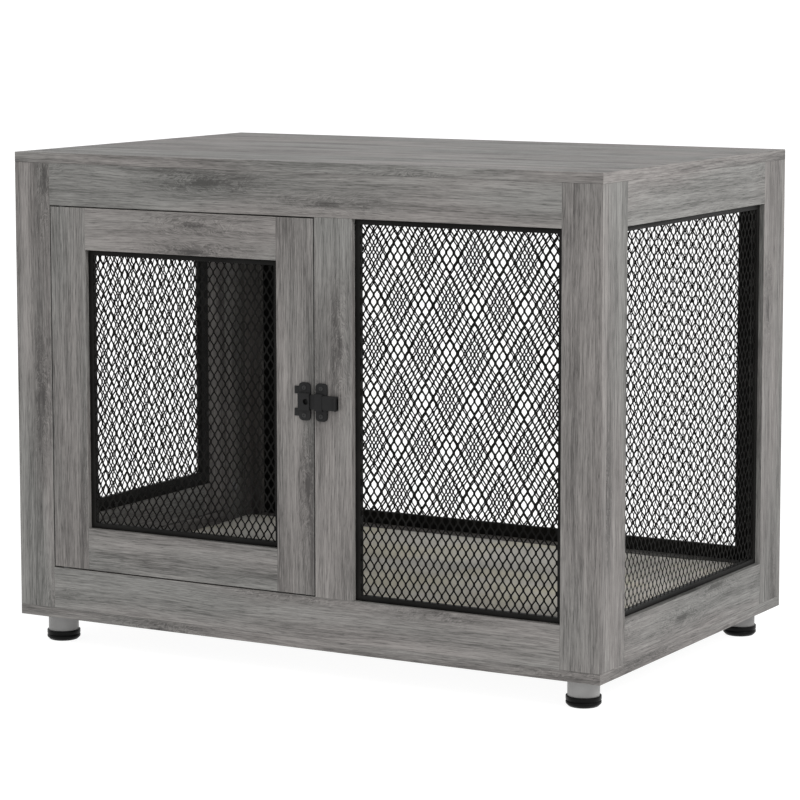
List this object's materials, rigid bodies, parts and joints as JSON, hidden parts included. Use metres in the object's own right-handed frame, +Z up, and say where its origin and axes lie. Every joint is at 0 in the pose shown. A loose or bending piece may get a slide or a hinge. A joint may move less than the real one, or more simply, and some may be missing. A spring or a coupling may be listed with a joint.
{
  "type": "pet crate",
  "caption": "Furniture style pet crate: wood look case with steel mesh panels, a hinged front door and a hinged side door with slide bolts, round levelling feet and a floor pad.",
  "frame": {"origin": "on the floor, under the middle of the case's base, midway between the feet", "axes": "+Z up; -Y is the front, with the front door on the left and the fixed window on the right; +X to the right seen from the front; the side door is in the left wall, -X"},
  "size_m": [0.975, 0.624, 0.733],
  "materials": {
    "oak_laminate": "matte",
    "black_steel": "satin",
    "latch_black": "satin",
    "black_screw": "satin",
    "zinc": "satin",
    "nylon": "matte",
    "foot_metal": "satin",
    "glide_plastic": "matte",
    "beech": "matte",
    "pad_cloth": "matte"
  },
  "bodies": {
    "case": {"top_board": "oak_laminate", "base_board": "oak_laminate", "front_left_post": "oak_laminate", "front_right_post": "oak_laminate", "front_top_rail": "oak_laminate", "front_bottom_rail": "oak_laminate", "front_centre_stile": "oak_laminate", "right_front_stile": "oak_laminate", "right_rear_stile": "oak_laminate", "right_top_rail": "oak_laminate", "right_bottom_rail": "oak_laminate", "left_front_stile": "oak_laminate", "left_rear_stile": "oak_laminate", "left_top_rail": "oak_laminate", "left_bottom_rail": "oak_laminate", "back_left_post": "oak_laminate", "back_right_post": "oak_laminate", "back_top_rail": "oak_laminate", "back_bottom_rail": "oak_laminate", "front_window_frame": "black_steel", "front_window_mesh": "black_steel", "right_window_frame": "black_steel", "right_window_mesh": "black_steel", "back_window_frame": "black_steel", "back_window_mesh": "black_steel", "hinge_bushes": "nylon", "bolt_guides": "latch_black", "case_screws": "black_screw", "foot_tubes": "foot_metal", "foot_screws": "zinc", "case_dowels": "beech", "cam_discs": "zinc", "cam_bolts": "zinc", "floor_pad": "pad_cloth"},
    "front_door": {"front_door_hinge_stile": "oak_laminate", "front_door_latch_stile": "oak_laminate", "front_door_top_rail": "oak_laminate", "front_door_bottom_rail": "oak_laminate", "front_door_mesh_frame": "black_steel", "front_door_mesh": "black_steel", "front_hinge_pins": "zinc", "front_bolt_keeper": "latch_black", "front_door_screws": "black_screw", "front_door_dowels": "beech"},
    "side_door": {"side_door_hinge_stile": "oak_laminate", "side_door_latch_stile": "oak_laminate", "side_door_top_rail": "oak_laminate", "side_door_bottom_rail": "oak_laminate", "side_door_mesh_frame": "black_steel", "side_door_mesh": "black_steel", "side_hinge_pins": "zinc", "side_bolt_keeper": "latch_black", "side_door_screws": "black_screw", "side_door_dowels": "beech"},
    "front_bolt": {"front_slide_bolt": "latch_black"},
    "side_bolt": {"side_slide_bolt": "latch_black"},
    "front_left_glide_body": {"front_left_glide": "glide_plastic"},
    "front_right_glide_body": {"front_right_glide": "glide_plastic"},
    "rear_left_glide_body": {"rear_left_glide": "glide_plastic"},
    "rear_right_glide_body": {"rear_right_glide": "glide_plastic"}
  },
  "joints": [
    {"name": "front_door_hinge", "type": "hinge", "parent": "case", "child": "front_door", "pos_m": [-0.401, -0.2995, 0.387], "axis": [0, 0, -1], "range_deg": [0, 120]},
    {"name": "side_door_hinge", "type": "hinge", "parent": "case", "child": "side_door", "pos_m": [-0.475, 0.212, 0.387], "axis": [0, 0, -1], "range_deg": [0, 120]},
    {"name": "front_bolt_slide", "type": "slide", "parent": "case", "child": "front_bolt", "axis": [1, 0, 0], "range_m": [0, 0.02]},
    {"name": "side_bolt_slide", "type": "slide", "parent": "case", "child": "side_bolt", "axis": [0, -1, 0], "range_m": [0, 0.02]},
    {"name": "front_left_glide_screw", "type": "slide", "parent": "case", "child": "front_left_glide_body", "axis": [0, 0, -1], "range_m": [0, 0.012]},
    {"name": "front_right_glide_screw", "type": "slide", "parent": "case", "child": "front_right_glide_body", "axis": [0, 0, -1], "range_m": [0, 0.012]},
    {"name": "rear_left_glide_screw", "type": "slide", "parent": "case", "child": "rear_left_glide_body", "axis": [0, 0, -1], "range_m": [0, 0.012]},
    {"name": "rear_right_glide_screw", "type": "slide", "parent": "case", "child": "rear_right_glide_body", "axis": [0, 0, -1], "range_m": [0, 0.012]}
  ]
}
